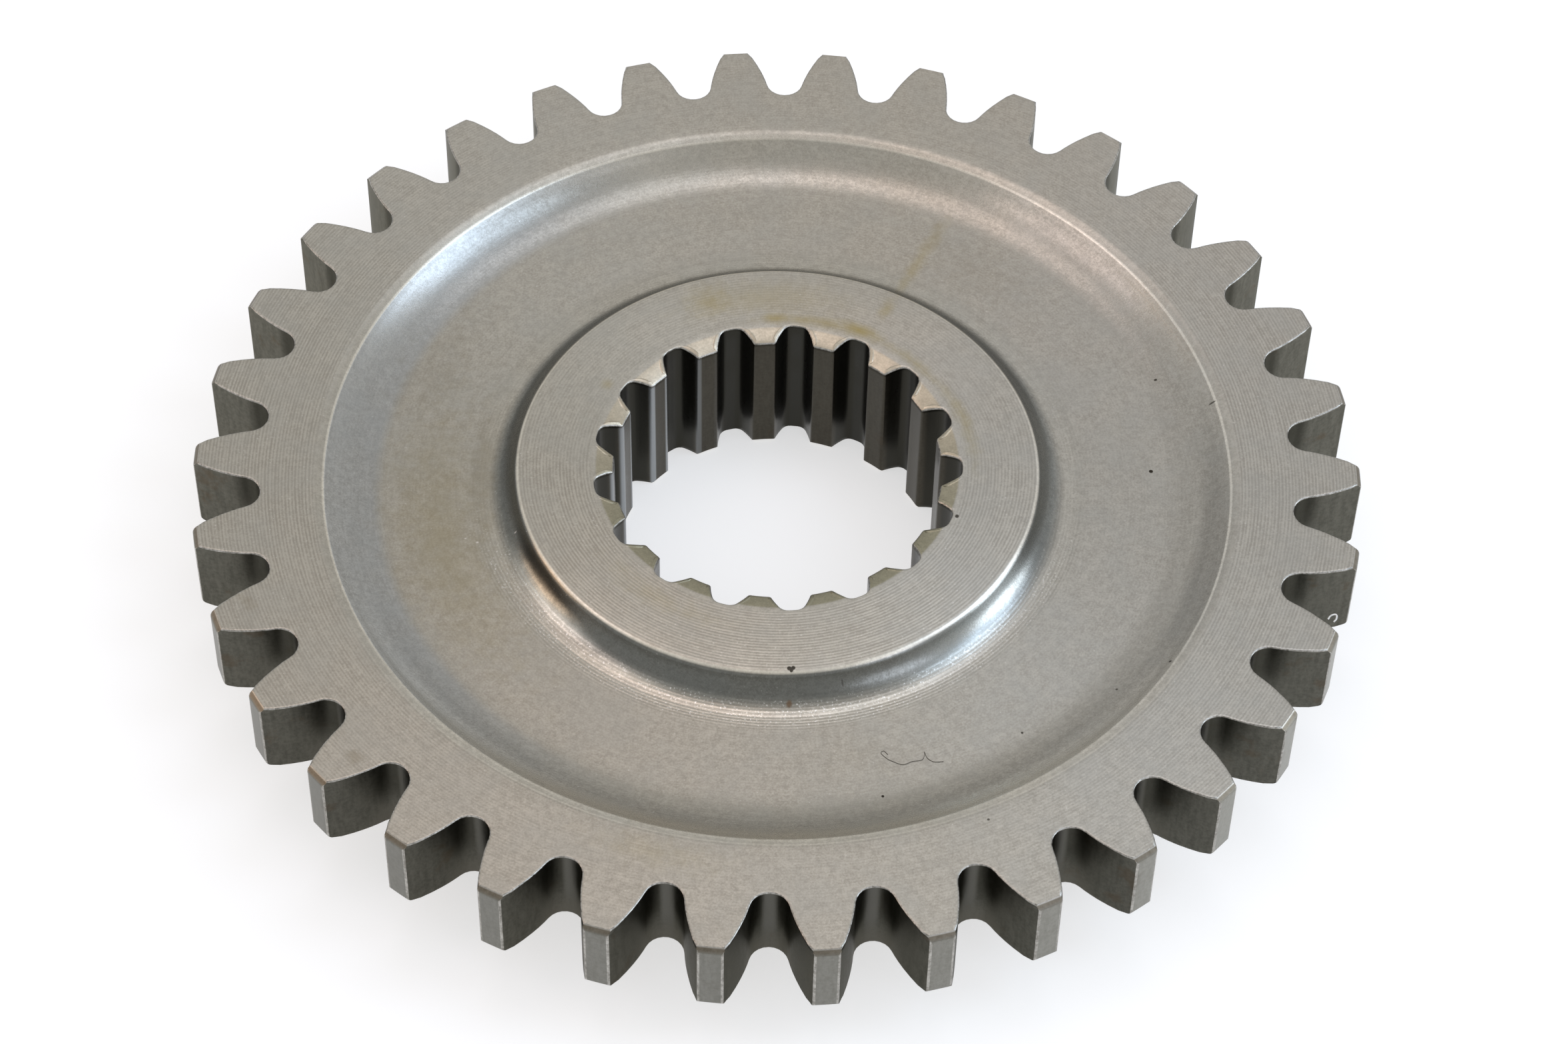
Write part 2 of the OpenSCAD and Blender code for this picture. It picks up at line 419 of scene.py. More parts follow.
def call(tree, shared, **values):
    """A shared group placed in a tree with its own values. Returns its outputs."""
    node = tree.nodes.new("ShaderNodeGroup")
    node.node_tree = shared
    for label, value in values.items():
        join(tree, value, node.inputs[label.replace("_", " ")])
    return node.outputs


def join(tree, value, socket):
    """Sets a socket to a number or colour, or links it to another socket."""
    if isinstance(value, bpy.types.NodeSocket):
        tree.links.new(value, socket)
    else:
        socket.default_value = value


def calc(tree, operation, *values, clamp=False):
    node = tree.nodes.new("ShaderNodeMath")
    node.operation = operation
    node.use_clamp = clamp
    for value, socket in zip(values, node.inputs):
        join(tree, value, socket)
    return node.outputs[0]


def times(tree, value, *others):
    for other in others:
        value = calc(tree, "MULTIPLY", value, other)
    return value


def plus(tree, value, *others):
    for other in others:
        value = calc(tree, "ADD", value, other)
    return value


def minus(tree, value, other):
    return calc(tree, "SUBTRACT", value, other)


def magnitude(tree, value):
    return calc(tree, "ABSOLUTE", value)


def swing(tree, value, share):
    """How far a value from 0 to 1 is from its middle, times a share."""
    return times(tree, minus(tree, value, 0.5), share)


def xyz(tree, x, y, z):
    node = tree.nodes.new("ShaderNodeCombineXYZ")
    for value, socket in zip((x, y, z), node.inputs):
        join(tree, value, socket)
    return node.outputs[0]


def split(tree, vector):
    node = tree.nodes.new("ShaderNodeSeparateXYZ")
    join(tree, vector, node.inputs[0])
    return node.outputs


def on_object(tree):
    """The point's place on the gear, in metres."""
    return tree.nodes.new("ShaderNodeTexCoord").outputs["Object"]


def cloud(tree, vector, scale, detail=3.0, rough=0.55):
    """Soft noise from 0 to 1."""
    node = tree.nodes.new("ShaderNodeTexNoise")
    join(tree, vector, node.inputs["Vector"])
    join(tree, scale, node.inputs["Scale"])
    node.inputs["Detail"].default_value = detail
    node.inputs["Roughness"].default_value = rough
    return node.outputs["Fac"]


def ramp(tree, value, low, high, out_low=0.0, out_high=1.0):
    """The value stretched from one range to another, with soft ends."""
    node = tree.nodes.new("ShaderNodeMapRange")
    node.interpolation_type = "SMOOTHSTEP"
    for v, socket in zip((value, low, high, out_low, out_high), node.inputs):
        join(tree, v, socket)
    return node.outputs[0]


def band(tree, value, low_0, low_1, high_0, high_1):
    """1 between two edges of a range and 0 outside them, with a soft step at each."""
    return times(tree, ramp(tree, value, low_0, low_1), ramp(tree, value, high_1, high_0))


def stops(tree, value, low, high, tones):
    """A tone that depends on a value, from a list of (value, tone). Tones run from 0 to 2."""
    node = tree.nodes.new("ShaderNodeValToRGB")
    share = calc(tree, "DIVIDE", minus(tree, value, low), high - low, clamp=True)
    join(tree, share, node.inputs[0])
    bar = node.color_ramp
    while len(bar.elements) < len(tones):
        bar.elements.new(1.0)
    for element, (at, tone) in zip(bar.elements, tones):
        element.position = (at - low) / (high - low)
        element.color = (tone / 2, tone / 2, tone / 2, 1)
    return times(tree, node.outputs[0], 2.0)


def blend(tree, share, a, b, kind="MIX"):
    node = tree.nodes.new("ShaderNodeMix")
    node.data_type = "RGBA"
    node.blend_type = kind
    join(tree, share, node.inputs[0])
    join(tree, a, node.inputs[6])
    join(tree, b, node.inputs[7])
    return node.outputs[2]


def shaded(tree, colour, tone):
    """The colour made lighter or darker by a tone."""
    node = tree.nodes.new("ShaderNodeVectorMath")
    node.operation = "SCALE"
    join(tree, colour, node.inputs[0])
    join(tree, tone, node.inputs["Scale"])
    return node.outputs[0]


# Where a point lies on the gear: its radius and height in millimetres, its angle in degrees with
# that angle's sine and cosine, and a point for noise that runs round the axis without a seam
gear_place, given, result = group("gear place", {}, {
    "Radius": VALUE, "Angle": VALUE, "Height": VALUE, "Sine": VALUE, "Cosine": VALUE, "Round": VECTOR,
})
t = gear_place
x, y, z = (times(t, part, 1000.0) for part in split(t, on_object(t)))
radius = calc(t, "SQRT", plus(t, times(t, x, x), times(t, y, y)))
angle = times(t, calc(t, "ARCTAN2", y, x), 180.0 / math.pi)
cosine = calc(t, "DIVIDE", x, calc(t, "MAXIMUM", radius, 1.0))
sine = calc(t, "DIVIDE", y, calc(t, "MAXIMUM", radius, 1.0))
join(t, radius, result["Radius"])
join(t, calc(t, "MODULO", plus(t, angle, 360.0), 360.0), result["Angle"])
join(t, z, result["Height"])
join(t, sine, result["Sine"])
join(t, cosine, result["Cosine"])
join(t, xyz(t, cosine, sine, radius), result["Round"])

# The rings that the turning tool leaves: its even feed, which wavers a little, and rougher streaks
turning, given, result = group(
    "turning marks", {"Pitch": 0.26, "Waver": 0.35, "Streaks": 0.5}, {"Height": VALUE, "Tone": VALUE},
)
t = turning
here = call(t, gear_place)
x, y, _ = split(t, here["Round"])
slow = cloud(t, xyz(t, x, y, times(t, here["Radius"], 0.15)), 2.5)
cycles = plus(t, calc(t, "DIVIDE", here["Radius"], given["Pitch"]), times(t, slow, given["Waver"]))
wave = calc(t, "MULTIPLY_ADD", calc(t, "SINE", times(t, cycles, 2 * math.pi)), 0.5, 0.5)
stretched = xyz(t, times(t, x, 5.0), times(t, y, 5.0), times(t, here["Radius"], 5.0))
streak = cloud(t, stretched, 1.0, 5.0, 0.7)
even = times(t, wave, minus(t, 1.0, given["Streaks"]))
join(t, plus(t, even, times(t, streak, given["Streaks"])), result["Height"])
join(t, streak, result["Tone"])

# The fine grain of cut and handled steel, and the larger blotches in it
grain, given, result = group(
    "steel grain", {"Size": 0.3, "Along axis": 1.0}, {"Tone": VALUE, "Blotch": VALUE},
)
t = grain
x, y, z = split(t, on_object(t))
spread = xyz(t, x, y, calc(t, "DIVIDE", z, given["Along axis"]))
join(t, cloud(t, spread, calc(t, "DIVIDE", 1000.0, given["Size"]), 4.0, 0.65), result["Tone"])
join(t, cloud(t, spread, calc(t, "DIVIDE", 120.0, given["Size"]), 4.0, 0.6), result["Blotch"])

# A soft patch at a place on the gear's face, for a stain, a speck or a worn spot. Ragged is a noise
# that breaks its outline up.
patch, given, result = group("patch", {
    "Angle": 0.0, "Radius": 30.0, "Half angle": 5.0, "Half width": 1.0, "Ragged": 0.0, "Edge": 0.35,
    "Here angle": 0.0, "Here radius": 0.0,
}, {"Mask": VALUE})
t = patch
round_by = calc(t, "WRAP", minus(t, given["Here angle"], given["Angle"]), 180.0, -180.0)
round_by = calc(t, "DIVIDE", round_by, given["Half angle"])
out_by = calc(t, "DIVIDE", minus(t, given["Here radius"], given["Radius"]), given["Half width"])
far = calc(t, "SQRT", plus(t, times(t, round_by, round_by), times(t, out_by, out_by)))
join(t, ramp(t, plus(t, far, given["Ragged"]), 1.0, given["Edge"]), result["Mask"])


def patches(tree, here, ragged, places, edge=0.35):
    """Several patches as one mask. Each place gives the angle, radius, half angle, half width,
    raggedness and strength of one of them."""
    mask = None
    for angle, r, half_angle, half_width, share, strength in places:
        one = call(
            tree, patch, Angle=angle, Radius=r, Half_angle=half_angle, Half_width=half_width,
            Ragged=times(tree, ragged, share) if share else 0.0, Edge=edge,
            Here_angle=here["Angle"], Here_radius=here["Radius"],
        )["Mask"]
        one = times(tree, one, strength)
        mask = one if mask is None else calc(tree, "MAXIMUM", mask, one)
    return mask


def new_steel(name):
    material = bpy.data.materials.new(name)
    material.use_nodes = True
    shader = material.node_tree.nodes["Principled BSDF"]
    shader.inputs["Metallic"].default_value = 1.0
    return material, material.node_tree, shader.inputs


def bumped(tree, shader, height, depth):
    """Relief of the given depth in metres."""
    bump = tree.nodes.new("ShaderNodeBump")
    bump.inputs["Distance"].default_value = depth
    join(tree, height, bump.inputs["Height"])
    join(tree, bump.outputs[0], shader["Normal"])


# The turned faces of rim, recess and hub. The tool's rings are cut into the relief and painted into
# the colour: a painted glint, strongest on the hub's near side and on the rim to the left and right.
# They also show where the hub's wall meets the recess's floor.
face_steel, t, shader = new_steel("turned_steel")
here = call(t, gear_place)
tool = call(t, turning, Pitch=0.26, Waver=0.5, Streaks=0.25)
fine = call(t, grain, Size=0.16)
coarse = call(t, grain, Size=0.5)
ragged = calc(t, "MULTIPLY_ADD", cloud(t, on_object(t), 900.0, 4.0, 0.6), 3.0, -1.5)
on_hub = ramp(t, here["Radius"], 20.1, 19.8)
on_rim = ramp(t, here["Radius"], 35.4, 35.8)
near_hub = ramp(t, here["Sine"], 0.5, -0.4, 0.3, 1.0)
sideways = magnitude(t, here["Cosine"])
rim_sides = calc(t, "MULTIPLY_ADD", calc(t, "POWER", sideways, 3.0), 0.85, 0.05)
fillet_lines = times(t, band(t, here["Radius"], 21.2, 21.8, 23.2, 24.2),
                     ramp(t, here["Sine"], -0.05, -0.5, 0.15, 1.0))
ring_depth_and_glint_share = plus(t, times(t, on_hub, near_hub), times(t, on_rim, rim_sides),
                  times(t, fillet_lines, 0.8), 0.1)
ring_depth_and_glint_share = times(t, ring_depth_and_glint_share, ramp(t, here["Radius"], 14.35, 14.6))
streak_share = calc(t, "MULTIPLY_ADD", ring_depth_and_glint_share, 0.4, 0.15)
# The rings' painted glint: lighter and darker lines in the colour
painted_ring_glint_tone = times(t, swing(t, tool["Height"], ring_depth_and_glint_share), 0.3)
tone = plus(t, swing(t, tool["Tone"], streak_share), 0.5, swing(t, fine["Tone"], 0.6),
            swing(t, coarse["Tone"], 0.5), painted_ring_glint_tone)
colour = blend(t, ramp(t, tone, 0.3, 0.7), (0.32, 0.296, 0.25, 1), (0.464, 0.434, 0.372, 1))
dull = ramp(t, coarse["Blotch"], 0.35, 0.7, 0.0, 0.35)
colour = blend(t, dull, colour, (0.37, 0.36, 0.322, 1))

# Stains of dried oil, yellow round the bore's mouth and on the far side, and in the recess to the
# left, and darker olive ones in the recess and on two teeth
yellow = patches(t, here, ragged, [
    (94.0, 17.2, 32.0, 2.8, 0.3, 0.36),
    (66.0, 15.2, 12.0, 1.1, 0.25, 1.0),
    (78.0, 15.0, 32.0, 0.9, 0.3, 0.65),
    (91.0, 15.0, 8.0, 0.9, 0.25, 0.9),
    (108.0, 17.6, 11.0, 2.6, 0.35, 0.6),
    (150.0, 15.5, 3.0, 0.8, 0.3, 0.5),
    (18.0, 15.2, 26.0, 0.9, 0.4, 0.5),
    (45.0, 15.0, 20.0, 0.8, 0.4, 0.5),
    (64.5, 25.5, 2.0, 8.0, 0.35, 0.5),
    (62.5, 18.2, 2.8, 2.0, 0.35, 0.55),
    (257.0, 37.4, 12.0, 2.0, 0.5, 0.2),
    (236.0, 16.0, 30.0, 1.5, 0.5, 0.22),
    (195.0, 26.5, 42.0, 5.5, 0.3, 0.35),
], -0.25)
colour = blend(t, yellow, colour, (0.34, 0.275, 0.125, 1))
olive = patches(t, here, ragged, [
    (200.0, 42.1, 1.6, 1.0, 0.8, 0.3),
    (223.0, 41.8, 1.5, 0.8, 0.8, 0.4),
    (180.0, 22.8, 24.0, 1.7, 0.3, 0.42),
    (160.0, 29.0, 18.0, 4.0, 0.9, 0.2),
    (185.0, 27.0, 45.0, 5.0, 0.9, 0.14),
    (55.0, 27.0, 16.0, 4.0, 0.9, 0.15),
    (283.0, 27.0, 10.0, 2.5, 0.9, 0.1),
], -0.1)
colour = blend(t, olive, colour, (0.20, 0.165, 0.105, 1))

# Light and shade painted by radius: a painted highlight on the edges of hub and recess, painted
# shade on the wall below the hub's edge, and coves painted lighter or darker than the flat faces here
# and there
tones = stops(t, here["Radius"], 13.0, 37.0, [
    (13.95, 1.0), (14.1, 1.08), (14.4, 1.1), (14.5, 1.04), (19.92, 1.04), (20.0, 1.75), (20.1, 1.75),
    (20.2, 0.45), (21.3, 0.4), (21.9, 0.75), (22.3, 1.1), (22.9, 1.1), (23.5, 1.0), (30.2, 0.98),
    (31.2, 0.92), (32.9, 0.92), (34.3, 1.0),
])
# The recess's outer wall painted lighter on the near side: painted light
near_wall_painted_light = stops(t, here["Radius"], 31.0, 36.0, [
    (31.5, 1.0), (32.5, 0.85), (33.0, 0.92), (33.5, 1.22), (34.1, 1.55), (35.0, 1.5), (35.45, 1.2),
    (35.6, 1.0),
])
near_share = ramp(t, here["Sine"], -0.3, -0.8)
far_share = minus(t, 1.0, near_share)
tones = times(t, tones, calc(t, "MULTIPLY_ADD", minus(t, near_wall_painted_light, 1.0), near_share, 1.0))
# Painted highlights along the recess's edge: an inner line on the far side, strongest to the left and
# right, and an outer line on the near side
inner_edge_highlight = stops(t, here["Radius"], 34.0, 36.0, [
    (34.84, 0.0), (34.9, 1.0), (35.0, 1.0), (35.08, 0.13), (35.5, 0.13), (35.6, 0.0),
])
inner_edge_highlight = times(t, inner_edge_highlight, calc(t, "MULTIPLY_ADD", sideways, 0.42, 0.25))
outer_edge_highlight = stops(t, here["Radius"], 34.0, 36.0, [
    (35.45, 0.0), (35.55, 0.3), (35.62, 0.3), (35.7, 0.0),
])
# Painted highlights on the hub's wall to the right
painted_wall_highlight = patches(t, here, None, [
    (316.0, 21.0, 28.0, 1.4, 0.0, 0.5), (2.0, 21.0, 34.0, 1.4, 0.0, 0.25),
], 0.0)
# Painted shade that dims the walls in places
painted_wall_shade = patches(t, here, None, [
    (343.0, 34.0, 38.0, 1.8, 0.0, 0.27), (127.0, 33.6, 19.0, 2.4, 0.0, 0.24),
    (45.0, 34.0, 14.0, 1.8, 0.0, 0.16), (211.0, 20.65, 18.0, 0.6, 0.0, 0.32),
], 0.3)
# Painted highlights at the foot of the hub's wall on the near left, and on the recess's outer wall to
# the far left
painted_highlight_patches = patches(t, here, ragged, [
    (216.0, 21.5, 20.0, 0.85, 0.12, 0.9), (240.0, 22.0, 14.0, 0.6, 0.12, 0.4),
    (150.0, 34.0, 11.0, 1.6, 0.0, 0.15),
], 0.0)
tones = plus(t, tones, times(t, inner_edge_highlight, far_share), times(t, outer_edge_highlight, near_share), painted_wall_highlight)
tones = plus(t, minus(t, tones, painted_wall_shade), painted_highlight_patches)
colour = shaded(t, colour, tones)

# Painted reflection of the cool light: the steel is tinted bluer on the recess's left wall, on the
# hub's wall and towards the right
left_wall_painted_reflection = times(t, band(t, here["Radius"], 30.3, 31.4, 34.85, 34.95),
                  ramp(t, here["Cosine"], -0.3, -0.9))
colour = blend(t, left_wall_painted_reflection, colour, (0.98, 1.04, 1.15, 1), "MULTIPLY")
colour = blend(t, ramp(t, here["Cosine"], 0.2, 1.0), colour, (1.06, 1.08, 1.13, 1), "MULTIPLY")
hub_wall_painted_reflection = band(t, here["Radius"], 20.1, 20.3, 21.2, 22.2)
colour = blend(t, hub_wall_painted_reflection, colour, (0.93, 1.0, 1.06, 1), "MULTIPLY")

# The lead-in of the bore, painted lighter and yellower on its far side, where it faces the light, and
# darker on its near side, in painted shade
lead_in_lit_side = ramp(t, here["Sine"], -0.6, 0.75)
lead_in_lit_colour = blend(t, lead_in_lit_side, (0.30, 0.28, 0.2, 1), (0.5, 0.44, 0.345, 1))
lead_in_lit_colour = shaded(t, lead_in_lit_colour, ramp(t, tone, 0.3, 0.7, 0.84, 1.12))
colour = blend(t, ramp(t, here["Radius"], 14.12, 13.9), colour, lead_in_lit_colour)

# Painted glints of single grains, dark specks, the nick in the hub's near edge painted dark as its
# shade with its brown stain below, and painted highlight spots on the hub's wall
painted_glints = plus(t, fine["Tone"], times(t, ring_depth_and_glint_share, 0.04), times(t, fillet_lines, 0.07))
colour = blend(t, ramp(t, painted_glints, 0.69, 0.76, 0.0, 0.6), colour, (0.85, 0.84, 0.82, 1))
specks = patches(t, here, None, [
    (3.3, 29.07, 0.4, 0.2, 0.0, 1.0),
    (12.3, 34.72, 0.16, 0.32, 0.0, 0.8),
    (20.2, 31.69, 0.25, 0.16, 0.0, 0.9),
    (285.3, 30.78, 0.25, 0.15, 0.0, 1.0),
    (295.4, 36.56, 0.2, 0.12, 0.0, 0.8),
    (307.9, 30.03, 0.22, 0.13, 0.0, 0.9),
    (322.3, 32.31, 0.2, 0.12, 0.0, 0.8),
    (328.7, 34.56, 0.22, 0.14, 0.0, 0.9),
    (340.5, 14.6, 0.8, 0.18, 0.0, 0.9),
    (284.2, 20.8, 0.2, 0.25, 0.0, 0.5),
], 0.6)
# The nick is painted as a dark spot: painted shade in the dent
nick_shade = patches(t, here, ragged, [
    (273.3, 19.74, 0.6, 0.22, 0.1, 0.95),
    (274.15, 19.71, 0.52, 0.21, 0.1, 0.95),
    (273.7, 19.87, 0.5, 0.22, 0.1, 0.95),
], 0.7)
colour = blend(t, calc(t, "MAXIMUM", specks, nick_shade), colour, (0.04, 0.034, 0.027, 1))
brown = patches(t, here, ragged, [(273.1, 21.75, 0.8, 0.35, 0.3, 0.9)])
colour = blend(t, brown, colour, (0.16, 0.11, 0.07, 1))
# Painted highlight spots on the hub's wall, to the left
painted_glint_spots = patches(t, here, None, [
    (197.6, 20.9, 0.3, 0.16, 0.0, 0.8),
    (196.2, 23.8, 0.35, 0.18, 0.0, 0.8),
    (199.5, 22.6, 0.2, 0.12, 0.0, 0.8),
    (201.4, 21.8, 0.2, 0.12, 0.0, 0.8),
    (194.8, 24.6, 0.25, 0.14, 0.0, 0.7),
], -0.2)
colour = blend(t, painted_glint_spots, colour, (0.85, 0.8, 0.76, 1))
join(t, colour, shader["Base Color"])

# The walls are smoother than the flat faces, and the fine rings spread the gloss across them
outer_wall = band(t, here["Radius"], 29.5, 32.0, 35.3, 35.6)
hub_wall = band(t, here["Radius"], 19.9, 20.2, 23.0, 24.5)
rough = plus(t, ramp(t, tone, 0.25, 0.75, 0.42, 0.34), times(t, yellow, -0.06))
rough = minus(t, rough, times(t, calc(t, "MAXIMUM", outer_wall, hub_wall), 0.11))
join(t, rough, shader["Roughness"])
tangent = t.nodes.new("ShaderNodeTangent")
tangent.direction_type = "RADIAL"
tangent.axis = "Z"
shader["Anisotropic"].default_value = 0.55
shader["Anisotropic Rotation"].default_value = 0.25
join(t, tangent.outputs[0], shader["Tangent"])
relief = plus(t, times(t, tool["Height"], ring_depth_and_glint_share), times(t, fine["Tone"], 0.5))
bumped(t, shader, relief, 0.000008)


def axial_steel(name, dark, light, rough, mark_size, depth, oil_share=0.5):
    """Steel with marks along the gear's axis. Returns the material, its tree, its shader's inputs
    and its colour."""
    material, t, shader = new_steel(name)
    marks = call(t, grain, Size=mark_size, Along_axis=5.0)
    fine = call(t, grain, Size=0.3)
    tone = plus(t, times(t, marks["Tone"], 0.5), times(t, fine["Tone"], 0.5))
    colour = blend(t, ramp(t, tone, 0.3, 0.7), dark, light)
    oil = ramp(t, fine["Blotch"], 0.58, 0.72, 0.0, oil_share)
    colour = blend(t, oil, colour, (0.06, 0.045, 0.03, 1))
    join(t, colour, shader["Base Color"])
    join(t, ramp(t, tone, 0.25, 0.75, *rough), shader["Roughness"])
    bumped(t, shader, tone, depth)
    return material, t, shader, colour


# The hobbed tooth gaps, painted lighter towards the far side where they face the light. Either side
# of each gap's bottom, in its upper half, is dark with oil and painted shade; the bottom itself has a
# painted highlight, and the gap's bottom is painted lighter low down.
flank_steel, t, shader, colour = axial_steel(
    "hobbed_steel", dark=(0.05, 0.049, 0.041, 1), light=(0.092, 0.089, 0.075, 1),
    rough=(0.32, 0.46), mark_size=0.4, depth=0.000008,
)
shader["Specular Tint"].default_value = (0.56, 0.555, 0.53, 1)
here = call(t, gear_place)
tooth_pitch = 360.0 / TEETH
off_gap = minus(t, here["Angle"], tooth_pitch / 2)
off_gap = magnitude(t, calc(t, "WRAP", off_gap, tooth_pitch / 2, -tooth_pitch / 2))
down = calc(t, "DIVIDE", minus(t, TOP, here["Height"]), TOP - WEB)
far_side_painted_light = times(t, calc(t, "POWER", 1.55, plus(t, here["Sine"], 1.0)), 1.12)
colour = shaded(t, colour, far_side_painted_light)
# Oil and painted shade, dark either side of each gap's bottom in its upper half
oil = times(t, ramp(t, here["Radius"], 42.0, 40.9), ramp(t, off_gap, 0.5, 1.0),
            ramp(t, down, 0.75, 0.35), 0.65)
colour = blend(t, oil, colour, (0.03, 0.029, 0.023, 1))
# A painted highlight down the middle of each gap's bottom
gap_bottom_highlight = times(t, ramp(t, off_gap, 1.0, 0.35), ramp(t, here["Radius"], 41.0, 40.4),
               ramp(t, down, 0.9, 0.5, 0.25, 1.0), 0.8)
colour = blend(t, gap_bottom_highlight, colour, (0.115, 0.112, 0.1, 1))
# The gap's bottom painted lighter low down: painted light
low_end_painted_light = times(t, ramp(t, here["Radius"], 42.5, 41.0), ramp(t, down, 0.6, 0.95), 0.5)
colour = blend(t, low_end_painted_light, colour, (0.13, 0.122, 0.102, 1))
join(t, colour, shader["Base Color"])

# The broached bore: its grooves are painted darker than its lands, as painted shade, with a painted
# highlight down the middle of each groove below its mouth, and the lands' corners on the left carry a
# painted highlight
bore_steel, t, shader, colour = axial_steel(
    "broached_steel", dark=(0.05, 0.045, 0.035, 1), light=(0.07, 0.064, 0.05, 1),
    rough=(0.26, 0.36), mark_size=0.35, depth=0.000003, oil_share=0.35,
)
here = call(t, gear_place)
groove_pitch = 360.0 / GROOVES
off_groove = magnitude(t, calc(t, "WRAP", here["Angle"], groove_pitch / 2, -groove_pitch / 2))
# Painted shade in the grooves
groove_shade = times(t, ramp(t, here["Radius"], 12.85, 13.3), 0.92)
colour = blend(t, groove_shade, colour, (0.032, 0.031, 0.025, 1))
# A painted highlight down the middle of each groove, broken about 4.4 mm below the face
groove_highlight = times(t, ramp(t, off_groove, 2.4, 1.0), ramp(t, here["Radius"], 13.6, 14.0),
                    ramp(t, here["Height"], TOP - 0.5, TOP - 1.6))
groove_highlight_break = magnitude(t, minus(t, here["Height"], TOP - 4.4))
groove_highlight = times(t, groove_highlight, ramp(t, groove_highlight_break, 0.1, 1.5, 0.45, 1.0), 0.8)
colour = blend(t, groove_highlight, colour, (0.04, 0.039, 0.034, 1))
# Painted highlight on the lands' corners to the left
land_corner_highlight = times(t, ramp(t, magnitude(t, minus(t, off_groove, 7.1)), 1.3, 0.5),
                  ramp(t, here["Radius"], 13.1, 12.8), ramp(t, here["Cosine"], -0.35, -0.7))
colour = blend(t, land_corner_highlight, colour, (0.3, 0.315, 0.325, 1))
join(t, colour, shader["Base Color"])

# The tips of the teeth, painted brighter to the right where they face the light, and the chamfers at
# their ends, whose upper edge is bared and painted lighter as a highlight
tip_steel, t, shader, colour = axial_steel(
    "tip_steel", dark=(0.155, 0.152, 0.132, 1), light=(0.22, 0.216, 0.194, 1),
    rough=(0.34, 0.46), mark_size=0.3, depth=0.000004, oil_share=0.3,
)
right_side_painted_light = calc(t, "MAXIMUM", call(t, gear_place)["Cosine"], 0.0)
join(t, shaded(t, colour, calc(t, "MULTIPLY_ADD", right_side_painted_light, 0.65, 1.0)), shader["Base Color"])
chamfer_steel, t, shader, colour = axial_steel(
    "chamfer_steel", dark=(0.13, 0.112, 0.085, 1), light=(0.2, 0.178, 0.142, 1),
    rough=(0.36, 0.5), mark_size=0.25, depth=0.000005, oil_share=0.3,
)
drop = minus(t, TOP, call(t, gear_place)["Height"])
colour = blend(t, ramp(t, drop, 0.2, 0.42, 0.0, 0.7), colour, (0.22, 0.215, 0.19, 1))
# The chamfer's bared upper edge, painted lighter as a highlight
colour = blend(t, ramp(t, drop, 0.1, 0.04, 0.0, 0.7), colour, (0.42, 0.4, 0.36, 1))
join(t, colour, shader["Base Color"])

# The plain underside, and the small bright burrs on the edges, painted lighter as a highlight along
# them
under_steel = axial_steel(
    "under_steel", dark=(0.32, 0.30, 0.27, 1), light=(0.42, 0.40, 0.365, 1),
    rough=(0.36, 0.46), mark_size=0.4, depth=0.000006,
)[0]
edge_steel = axial_steel(
    "edge_steel", dark=(0.15, 0.14, 0.12, 1), light=(0.5, 0.485, 0.45, 1),
    rough=(0.28, 0.4), mark_size=0.22, depth=0.00001, oil_share=0.2,
)[0]

# The finishes are in the order of the zones of the mesh
for material in (
    face_steel, flank_steel, tip_steel, chamfer_steel, bore_steel, under_steel, edge_steel,
):
    mesh.materials.append(material)
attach(gear, "root")
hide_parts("gear")

# A dark textile fibre has stuck to the oil on the floor of the recess, and a curl of pale lint
# hangs on the edge of one tooth. Both are thin round threads that lie where they fell.
THREAD_SIDES = 6


def fibre(name, route, thickness, tint):
    """A thread along a smooth curve through the points of its route, in millimetres."""
    knots = [Vector(p) for p in route]
    knots = [2 * knots[0] - knots[1]] + knots + [2 * knots[-1] - knots[-2]]
    line = []
    for a, b, c, d in zip(knots, knots[1:], knots[2:], knots[3:]):
        for i in range(5):
            u = i / 5
            bend = (2 * a - 5 * b + 4 * c - d) * u * u + (3 * b - a - 3 * c + d) * u ** 3
            line.append(0.5 * (2 * b + (c - a) * u + bend))
    line.append(knots[-2])
    points, sides = [], []
    for i, p in enumerate(line):
        ahead = (line[min(i + 1, len(line) - 1)] - line[max(i - 1, 0)]).normalized()
        across = ahead.cross(Vector((0, 0, 1))).normalized()
        over = across.cross(ahead)
        for k in range(THREAD_SIDES):
            a = k * 2 * math.pi / THREAD_SIDES
            spoke = across * math.cos(a) + over * math.sin(a)
            points.append((p + spoke * thickness / 2) / 1000)
    for i in range(0, len(points) - THREAD_SIDES, THREAD_SIDES):
        for k in range(THREAD_SIDES):
            j = (k + 1) % THREAD_SIDES
            sides.append((i + k, i + j, i + THREAD_SIDES + j, i + THREAD_SIDES + k))
    sides.append(tuple(range(THREAD_SIDES - 1, -1, -1)))
    sides.append(tuple(range(len(points) - THREAD_SIDES, len(points))))
    shape = bpy.data.meshes.new(name)
    shape.from_pydata(points, [], sides)
    piece = bpy.data.objects.new(name, shape)
    bpy.context.collection.objects.link(piece)
    material = bpy.data.materials.new(name)
    material.use_nodes = True
    tree = material.node_tree
    shader = tree.nodes["Principled BSDF"].inputs
    shader["Roughness"].default_value = 0.7
    mottle = ramp(tree, call(tree, grain, Size=0.4)["Tone"], 0.35, 0.65)
    dark = tuple(0.7 * c for c in tint[:3]) + (1,)
    join(tree, blend(tree, mottle, dark, tint), shader["Base Color"])
    shape.materials.append(material)
    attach(piece, "root")


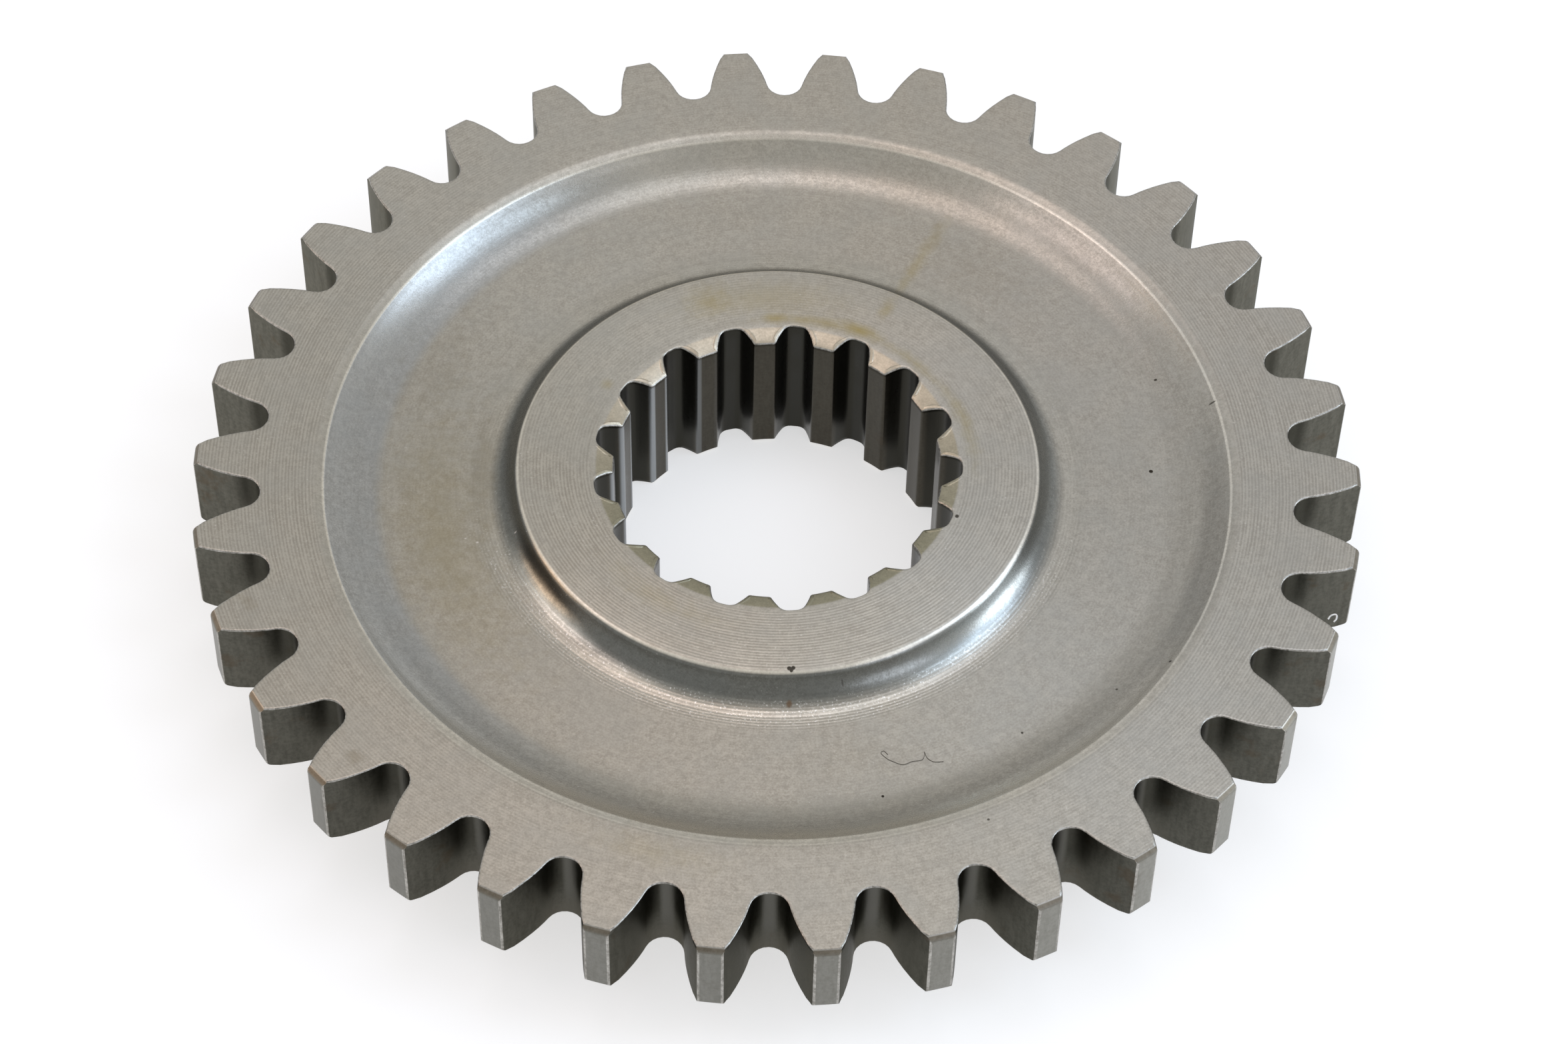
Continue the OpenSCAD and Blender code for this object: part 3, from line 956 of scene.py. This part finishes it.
low = RECESS_FLOOR + 0.03
fibre("recess_fibre", [
    (8.5, -25.9, low), (8.2, -25.6, low), (8.0, -25.8, low), (8.4, -26.25, low),
    (8.8, -26.5, low), (9.6, -26.8, low), (10.3, -26.5, low), (11.0, -26.35, low),
    (11.2, -25.9, low), (11.2, -25.6, low), (11.4, -26.15, low), (11.9, -26.5, low),
    (12.6, -26.45, low),
], 0.036, (0.1, 0.09, 0.07, 1))
fibre("tooth_lint", [
    (41.5, -14.15, TOP), (41.7, -13.9, TOP + 0.1), (42.0, -13.8, TOP + 0.15),
    (42.15, -13.9, TOP + 0.15), (42.1, -14.2, TOP + 0.1), (41.9, -14.4, TOP),
], 0.13, (0.75, 0.75, 0.73, 1))

# The studio: a plain pale floor that looks white and keeps the gear's shadow, a pale room, and eight
# round soft boxes. Cool daylight comes from the right and overhead, and warm light from the left.
HALF_FLOOR, WHITE_GLOW = 1.5, 0.56
floor_mesh = bpy.data.meshes.new("floor")
corners = [(-HALF_FLOOR, -HALF_FLOOR, 0), (HALF_FLOOR, -HALF_FLOOR, 0),
           (HALF_FLOOR, HALF_FLOOR, 0), (-HALF_FLOOR, HALF_FLOOR, 0)]
floor_mesh.from_pydata(corners, [], [(0, 1, 2, 3)])
floor = bpy.data.objects.new("floor", floor_mesh)
bpy.context.collection.objects.link(floor)
paper = bpy.data.materials.new("paper")
paper.use_nodes = True
t = paper.node_tree
shader = t.nodes["Principled BSDF"].inputs
shader["Base Color"].default_value = (0.5, 0.5, 0.5, 1)
shader["Roughness"].default_value = 1.0
shader["Specular IOR Level"].default_value = 0.0
shader["Emission Color"].default_value = (1, 1, 1, 1)
ray = t.nodes.new("ShaderNodeLightPath").outputs
sight = calc(t, "MAXIMUM", ray["Is Camera Ray"], ray["Is Glossy Ray"])
sight = calc(t, "MAXIMUM", sight, ray["Is Transmission Ray"])
join(t, times(t, sight, WHITE_GLOW), shader["Emission Strength"])
floor_mesh.materials.append(paper)
world = bpy.data.worlds.new("studio")
world.use_nodes = True
room = world.node_tree.nodes["Background"].inputs
room["Color"].default_value = (0.96, 0.965, 0.97, 1)
room["Strength"].default_value = 0.75
bpy.context.scene.world = world
BOX_SIZE, BOX_DISTANCE = 0.5, 1.2
for name, elevation, azimuth, watts, tint in (
    ("overhead_right", 72, 60, 0.77, (0.84, 0.88, 1.0)),
    ("overhead_left", 72, 120, 0.68, (1.0, 0.81, 0.78)),
    ("right_high", 54, 0, 1.8, (0.64, 0.79, 1.0)),
    ("right", 36, 0, 1.16, (0.53, 0.72, 1.0)),
    ("right_low", 18, 0, 3.65, (0.8, 0.89, 1.0)),
    ("right_front", 36, 315, 1.5, (0.76, 0.83, 1.0)),
    ("left_high", 54, 180, 0.91, (1.0, 0.83, 0.82)),
    ("left_low", 18, 180, 1.33, (1.0, 0.64, 0.39)),
):
    high, aside = math.radians(elevation), math.radians(azimuth)
    way = Vector((math.cos(high) * math.cos(aside), math.cos(high) * math.sin(aside), math.sin(high)))
    light = bpy.data.lights.new(name, "AREA")
    light.shape = "DISK"
    light.size = BOX_SIZE
    light.energy = watts
    light.color = tint
    lamp = bpy.data.objects.new(name, light)
    aim = way.to_track_quat("Z", "Y").to_matrix().to_4x4()
    lamp.matrix_world = Matrix.Translation(way * BOX_DISTANCE) @ aim
    bpy.context.collection.objects.link(lamp)
